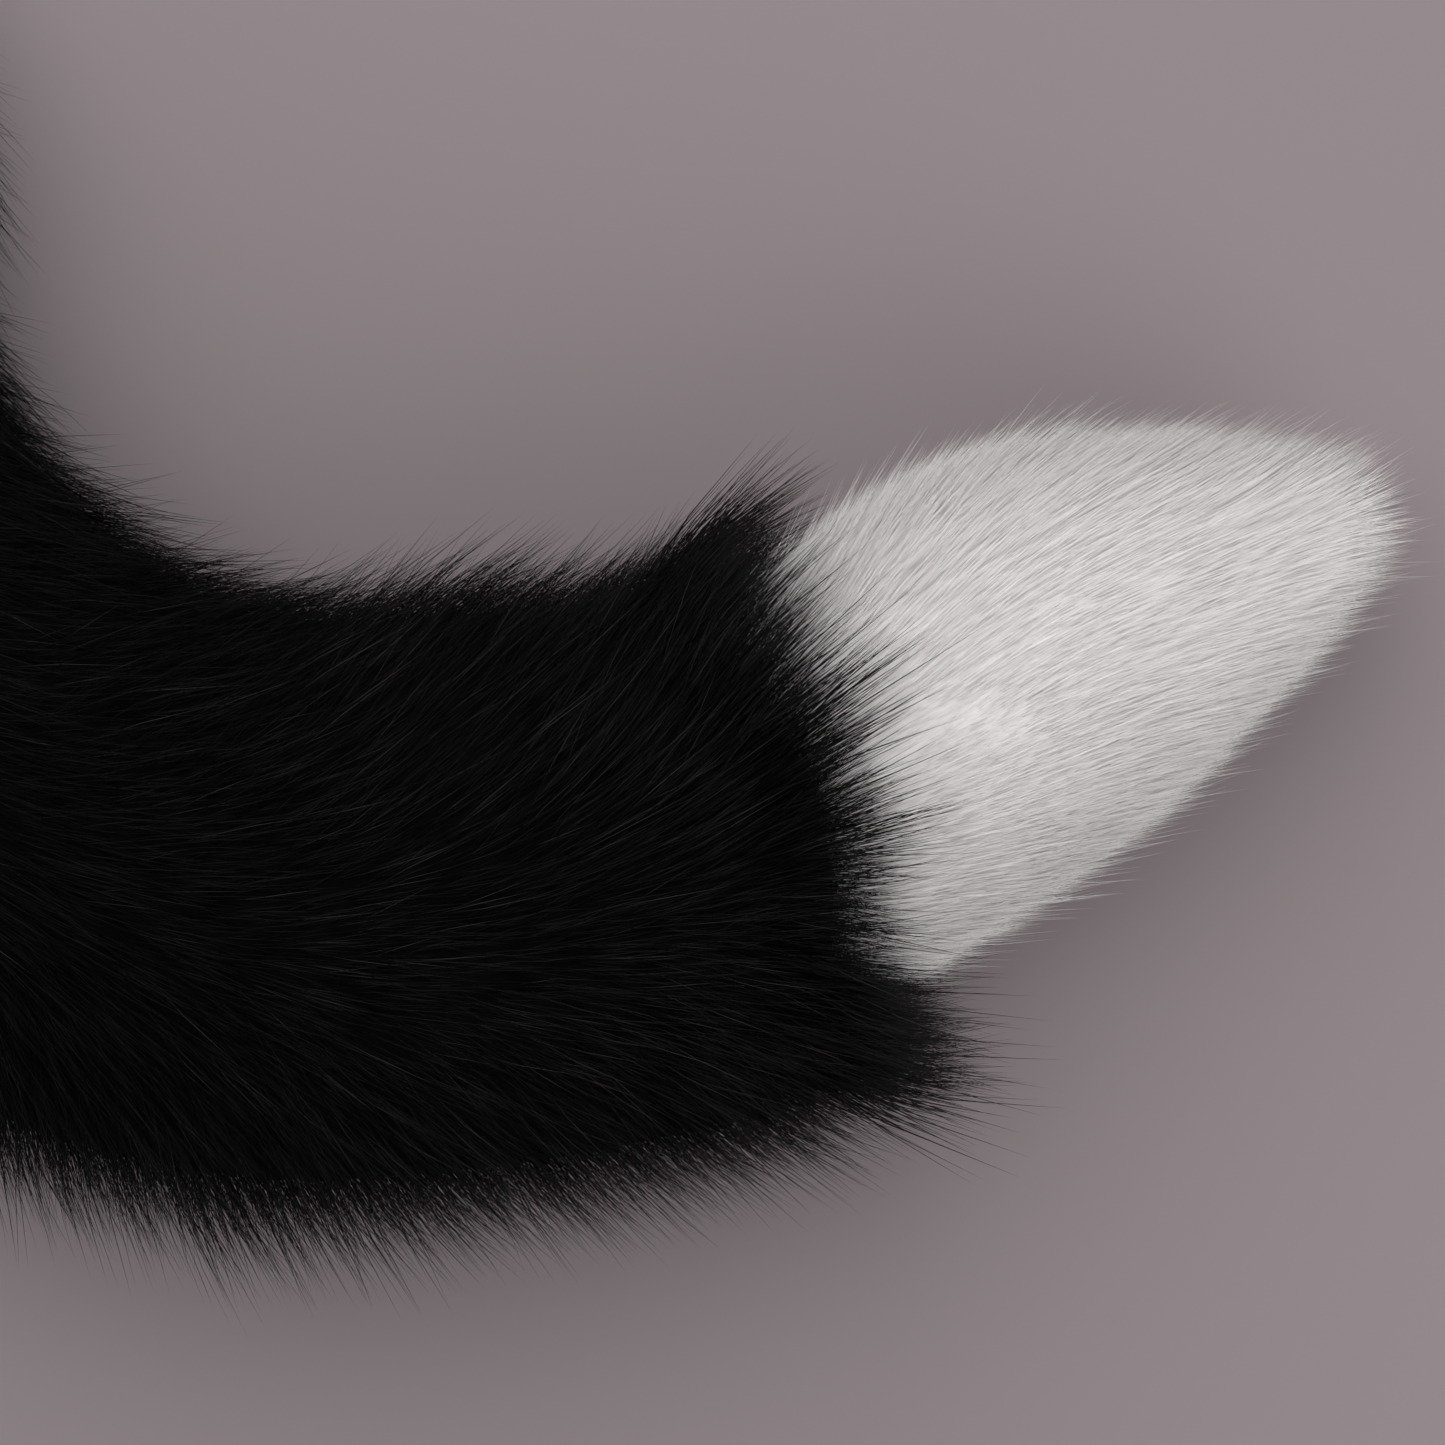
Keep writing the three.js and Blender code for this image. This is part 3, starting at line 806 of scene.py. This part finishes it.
whole = (-1, 2)
seam = tail["seamAt"]
collarFrom = seam - 0.045
blackPieces = [
    *growCoat("black_down", blackSkin, blackStrand, blackDown, (-1, 0.42, 2)),
    *growCoat("black_pile", blackSkin, blackStrand, blackPile, (-1, 0.37, collarFrom)),
    *growCoat("black_collar", blackSkin, blackStrand, blackCollar, (collarFrom, 2)),
    *growCoat("black_guard_hairs", blackSkin, blackStrand, blackGuard, whole),
]
whitePieces = [
    *growCoat("white_pile", whiteSkin, whiteStrand, whitePile, whole),
    *growCoat("white_guard_hairs", whiteSkin, whiteStrand, whiteGuard, whole),
]

# Weave, felt and thread

def feltMaterial(name, look):
    made = newMaterial(name)
    tree = made.node_tree
    place = putNode(tree, "ShaderNodeTexCoord").outputs["Object"]
    fibres = noise(place, 6.0, look["fibres"])[0]
    patches = noise(place, 2.0, look["patches"])[0]
    finer = times(fibres, 0.65)
    both = maths("MULTIPLY_ADD", patches, 0.35, finer)
    rough = maths("MULTIPLY_ADD", fibres, 0.1, 0.87)
    return patternMaterial(made, both, rough, look)


# A plain weave: cords along the strap that pass over and under those across it
def webbingMaterial(name, look):
    made = newMaterial(name)
    tree = made.node_tree
    strap = putNode(tree, "ShaderNodeAttribute", attribute_name="strap").outputs["Vector"]
    axes = putNode(tree, "ShaderNodeSeparateXYZ", {0: strap}).outputs
    along = maths("SINE", times(axes[0], math.pi / look["weft"]))
    across = maths("SINE", times(axes[1], math.pi / look["warp"]))
    weave = maths("MULTIPLY_ADD", times(along, across), 0.5, 0.5)
    fuzz = noise(strap, 4.0, look["fuzz"])[0]
    height = maths("MULTIPLY_ADD", fuzz, 0.25, times(weave, 0.75))
    rough = maths("MULTIPLY_ADD", weave, -0.15, 0.8)
    return patternMaterial(made, height, rough, look)


feltLook = {
    "dark": (0.006, 0.006, 0.0065), "light": (0.026, 0.025, 0.026), "fibres": 1500.0, "patches": 140.0,
    "spread": (0.36, 0.64), "bump": 0.7, "bumpDepth": 0.0004, "specular": 0.15,
}
webbingLook = {
    "dark": (0.005, 0.005, 0.0055), "light": (0.032, 0.032, 0.035), "warp": 0.0011, "weft": 0.0009,
    "fuzz": 2500.0, "spread": (0.15, 0.85), "bump": 0.8, "bumpDepth": 0.0003, "specular": 0.25,
}
threadLook = {
    **feltLook, "dark": (0.020, 0.020, 0.021), "light": (0.060, 0.059, 0.060), "fibres": 4200.0,
    "patches": 300.0, "specular": 0.3,
}
feltFinish = feltMaterial("black felt", feltLook)
webbingFinish = webbingMaterial("black webbing", webbingLook)
threadFinish = feltMaterial("sewing thread", threadLook)

# Felt disc over the base end, cut by hand, so its rim is soft and a little uneven
feltDisc = {"segments": 96, "rim": 0.0007, "roll": 0.3, "flat": 0.6, "uneven": 0.00022, "lobes": (5, 11)}


def makeFeltDisc(name, material, settings):
    low, high = (Vector(corner) for corner in baseBox)
    radius, thick, rim = (high.x - low.x) / 2, high.y - low.y, settings["rim"]
    flat, roll = radius * settings["flat"], rim * settings["roll"]
    profile = [
        (flat, 0), (radius - rim, 0), (radius - roll, roll), (radius, rim), (radius, thick - rim),
        (radius - roll, thick - roll), (radius - rim, thick), (radius - 3 * rim, thick), (flat, thick),
    ]
    count = settings["segments"]
    broad, fine = settings["lobes"]
    points = [(baseMiddle.x, low.y, baseMiddle.z), (baseMiddle.x, high.y, baseMiddle.z)]
    for far, height in profile:
        for k in range(count):
            turn = 2 * math.pi * k / count
            ripple = math.sin(broad * turn + 1) + math.sin(fine * turn)
            cut = settings["uneven"] * (ripple / 2 - 1)
            out = far + cut * far / radius
            x, z = baseMiddle.x + out * math.cos(turn), baseMiddle.z + out * math.sin(turn)
            points.append((x, low.y + height, z))
    faces = tubeFaces(len(profile) - 1, count, 2)
    last = 2 + (len(profile) - 1) * count
    for k in range(count):
        faces.append((0, 2 + (k + 1) % count, 2 + k))
        faces.append((1, last + k, last + (k + 1) % count))
    mesh = bpy.data.meshes.new(name)
    mesh.from_pydata(points, [], faces)
    return smoothPiece(name, mesh, material)


# The belt loop: one webbing strap from foot to foot, by way of the eye. Its path is in millimetres out from
# the disc and sideways from the middle, and only its upper half is listed: foot goes by the strap's own half
# thickness outwards, neck by the place where its two layers meet, and eye by shares of the eye.
webbing = {
    "halfThickness": 1.1, "eyeFrom": 9.0, "eyeLength": 48.0, "eyeHeight": 15.0, "layerGap": 0.06,
    "foot": [(0, 12.7), (0, 9), (0, 5.2), (0.4, 3.2)],
    "neck": [(2.6, 0.5), (4.6, 0), (7, 0)],
    "eye": [(0.0, 0), (0.16, 0.36), (0.36, 0.84), (0.6, 1), (0.85, 0.84), (0.97, 0.42)],
    "stations": 150, "sides": 28, "squareness": 7, "curveSteps": 16,
}
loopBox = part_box("belt_loop")


def strapPath(settings):
    half, start, reach = settings["halfThickness"], settings["eyeFrom"], settings["eyeLength"]
    layer = half + settings["layerGap"]
    upper = [(half + out, aside) for out, aside in settings["foot"]]
    upper += [(out, layer + aside) for out, aside in settings["neck"]]
    opening = settings["eyeHeight"] / 2
    upper += [(start + out * reach, layer + opened * opening) for out, opened in settings["eye"]]
    tip = (start + reach + half, 0)
    corners = np.array([*upper, tip, *[(u, -v) for u, v in reversed(upper)]], float)
    padded = np.concatenate([[2 * corners[0] - corners[1]], corners, [2 * corners[-1] - corners[-2]]])
    steps = np.linspace(0, 1, settings["curveSteps"], endpoint=False)[:, None]
    path = []
    for a, b, c, d in zip(padded, padded[1:], padded[2:], padded[3:]):
        path.append(0.5 * (2 * b + (c - a) * steps + (2 * a - 5 * b + 4 * c - d) * steps ** 2
                           + (3 * b - a - 3 * c + d) * steps ** 3))
    path = np.concatenate([*path, corners[-1:]])
    lengths = np.concatenate([[0], np.cumsum(np.linalg.norm(np.diff(path, axis=0), axis=1))])
    even = np.linspace(0, lengths[-1], settings["stations"])
    return np.stack([np.interp(even, lengths, path[:, axis]) for axis in (0, 1)], 1) * mm, even * mm


def makeWebbingLoop(name, material, settings):
    path, lengths = strapPath(settings)
    ahead = unit(np.gradient(path, axis=0))
    normal = np.stack([-ahead[:, 1], ahead[:, 0]], 1)
    halfWidth = (loopBox[1][0] - loopBox[0][0]) / 2
    count, power = settings["sides"], 2 / settings["squareness"]
    points, strap = [], []
    for (u, v), (nu, nv), length in zip(path, normal, lengths):
        for k in range(count):
            turn = 2 * math.pi * (k + 0.5) / count
            wide, high = math.cos(turn), math.sin(turn)
            side = halfWidth * math.copysign(abs(wide) ** power, wide)
            lift = settings["halfThickness"] * mm * math.copysign(abs(high) ** power, high)
            points.append((baseMiddle.x + side, loopBox[0][1] + u + nu * lift, baseMiddle.z + v + nv * lift))
            strap.append((length, side, lift))
    faces = tubeFaces(len(path) - 1, count)
    last = (len(path) - 1) * count
    faces.append(tuple(reversed(range(count))))
    faces.append(tuple(last + k for k in range(count)))
    mesh = bpy.data.meshes.new(name)
    mesh.from_pydata(points, [], faces)
    storeNumbers(mesh, "strap", strap, "FLOAT_VECTOR")
    return smoothPiece(name, mesh, material)


# Stitches: short fat threads set by Geometry Nodes on points that carry the way each one runs and faces
def sewTree():
    tree = bpy.data.node_groups.new("sew stitches", "GeometryNodeTree")
    addInputs(tree, "Geometry", "Places")
    addInputs(tree, "Float", "Length", "Thickness", "Variety")
    addInputs(tree, "Material", "Material")
    tree.interface.new_socket(name="Stitches", in_out="OUTPUT", socket_type="NodeSocketGeometry")
    given = tree.nodes.new("NodeGroupInput").outputs
    bead = putNode(tree, "GeometryNodeMeshUVSphere", {"Segments": 8, "Rings": 6, "Radius": 0.5})
    shape = putNode(tree, "ShaderNodeCombineXYZ", {
        "X": given["Length"], "Y": given["Thickness"], "Z": given["Thickness"],
    })
    thread = putNode(tree, "GeometryNodeTransform", {
        "Geometry": bead.outputs["Mesh"], "Scale": shape.outputs[0],
    })
    runs, faces = (readVector(tree, name) for name in ("way", "facing"))
    way = putNode(tree, "FunctionNodeAlignRotationToVector", {"Vector": runs}, axis="X")
    facing = putNode(
        tree, "FunctionNodeAlignRotationToVector", {"Rotation": way.outputs[0], "Vector": faces},
        axis="Z", pivot_axis="X",
    )
    uneven = maths("MULTIPLY_ADD", given["Variety"], randomNumber(tree, -1.0, 1.0, 5), 1.0)
    placed = putNode(tree, "GeometryNodeInstanceOnPoints", {
        "Points": given["Places"], "Instance": thread.outputs[0],
        "Rotation": facing.outputs[0], "Scale": uneven,
    })
    joined = putNode(tree, "GeometryNodeRealizeInstances", {"Geometry": placed.outputs[0]})
    smooth = putNode(tree, "GeometryNodeSetShadeSmooth", {"Geometry": joined.outputs[0]})
    dressed = putNode(tree, "GeometryNodeSetMaterial", {
        "Geometry": smooth.outputs[0], "Material": given["Material"],
    })
    result = tree.nodes.new("NodeGroupOutput")
    tree.links.new(dressed.outputs[0], result.inputs["Stitches"])
    return tree


stitches = {
    "length": 0.0026, "rimLength": 0.0048, "thickness": 0.00055, "variety": 0.08, "pitch": 0.0031,
    "boxHalfWidth": 0.0125, "boxFrom": 0.0048, "boxTo": 0.0112, "neckAt": 0.0066,
    "edgeCount": 44, "edgeIn": 0.0022, "edgeSunk": 0.0001, "edgeSlant": 0.35, "edgeDip": 0.45,
}


# A row of places between two points, each with its direction and the side it faces
def stitchRow(start, end, facing):
    start, end = np.array(start, float), np.array(end, float)
    way = end - start
    count = max(round(np.linalg.norm(way) / stitches["pitch"]), 1)
    return [(start + way * (k + 0.5) / count, unit(way), np.array(facing, float)) for k in range(count)]


def loopRows():
    x, z = baseMiddle.x, baseMiddle.z
    face = loopBox[0][1] + 2 * webbing["halfThickness"] * mm
    wide, near, far = stitches["boxHalfWidth"], stitches["boxFrom"], stitches["boxTo"]
    rows = []
    for side in (-1, 1):
        corners = [(x - wide, face, z + side * near), (x + wide, face, z + side * near),
                   (x + wide, face, z + side * far), (x - wide, face, z + side * far)]
        for a, b in ((0, 1), (1, 2), (2, 3), (3, 0), (0, 2), (1, 3)):
            rows += stitchRow(corners[a], corners[b], (0, 1, 0))
        lift = z + side * (2 * webbing["halfThickness"] + webbing["layerGap"]) * mm
        out = loopBox[0][1] + stitches["neckAt"]
        rows += stitchRow((x - wide, out, lift), (x + wide, out, lift), (0, 0, side))
    return rows


# Whip stitches that hold the disc's rim to the fur
def rimRows():
    radius = (baseBox[1][0] - baseBox[0][0]) / 2 - stitches["edgeIn"] / 2
    rows = []
    for k in range(stitches["edgeCount"]):
        turn = 2 * math.pi * k / stitches["edgeCount"]
        out = np.array([math.cos(turn), 0, math.sin(turn)])
        beside = np.array([-math.sin(turn), 0, math.cos(turn)])
        place = np.array(baseMiddle) + out * radius
        place[1] = baseBox[1][1] - stitches["edgeSunk"]
        way = unit(out + beside * stitches["edgeSlant"] - np.array([0, stitches["edgeDip"], 0]))
        rows.append((place, way, np.array([0, 1, 0])))
    return rows


def sewPiece(name, rows, length, material, tree):
    mesh = bpy.data.meshes.new(name)
    mesh.from_pydata([tuple(row[0]) for row in rows], [], [])
    storeNumbers(mesh, "way", [row[1] for row in rows], "FLOAT_VECTOR")
    storeNumbers(mesh, "facing", [row[2] for row in rows], "FLOAT_VECTOR")
    made = linkObject(name, mesh)
    sew = made.modifiers.new("sew", "NODES")
    sew.node_group = tree
    setInput(sew, "Length", length)
    setInput(sew, "Thickness", stitches["thickness"])
    setInput(sew, "Variety", stitches["variety"])
    setInput(sew, "Material", material)
    print(name, "stitches", len(rows), "triangles", triangleCount(settleMesh(made)))
    return made


felt = makeFeltDisc("felt_disc", feltFinish, feltDisc)
loop = makeWebbingLoop("webbing_loop", webbingFinish, webbing)
sewing = sewTree()
loopThread = sewPiece("loop_stitches", loopRows(), stitches["length"], threadFinish, sewing)
rimThread = sewPiece("rim_stitches", rimRows(), stitches["rimLength"], threadFinish, sewing)
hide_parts("base_cap")
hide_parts("belt_loop")
for piece, slot in (
    (felt, "base_felt"), (rimThread, "base_felt"), (loop, "webbing"), (loopThread, "webbing"),
):
    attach(piece, "root")

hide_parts("black_fur")
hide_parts("white_tip")
for piece in [blackSkin, *blackPieces]:
    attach(piece, "root")
for piece in [whiteSkin, *whitePieces]:
    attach(piece, "root")

# Floor and light
floor = {"size": 6.0, "color": (0.299, 0.2545, 0.2665), "roughness": 0.85, "specular": 0.2}
lights = {
    "world": (0.445, 0.445, 0.449),
    "key": {"power": 5.6, "size": 1.0, "from": (-0.25, 0.45, 0.85)},
    "fill": {"power": 4.9, "size": 0.9, "from": (0.75, -0.6, 0.75)},
}


def makeFloor(settings):
    half = settings["size"] / 2
    mesh = bpy.data.meshes.new("floor")
    corners = [(-half, -half, 0), (half, -half, 0), (half, half, 0), (-half, half, 0)]
    mesh.from_pydata(corners, [], [(0, 1, 2, 3)])
    made = linkObject("floor", mesh)
    finish = newMaterial("floor")
    inputs = {"Base Color": (*settings["color"], 1), "Roughness": settings["roughness"]}
    mesh.materials.append(finishMaterial(finish, inputs, settings["specular"]))


def makeLights(settings):
    world = bpy.data.worlds.new("studio")
    bpy.context.scene.world = world
    world.use_nodes = True
    world.node_tree.nodes["Background"].inputs[0].default_value = (*settings["world"], 1)
    target = bpy.context.scene.camera.location.copy()
    target.z = 0
    for name in ("key", "fill"):
        data = bpy.data.lights.new(name, "AREA")
        data.energy = settings[name]["power"]
        data.size = settings[name]["size"]
        made = linkObject(name, data)
        made.location = target + Vector(settings[name]["from"])
        made.rotation_euler = (target - made.location).to_track_quat("-Z", "Y").to_euler()


makeFloor(floor)
makeLights(lights)
bpy.context.scene.view_settings.view_transform = "Standard"
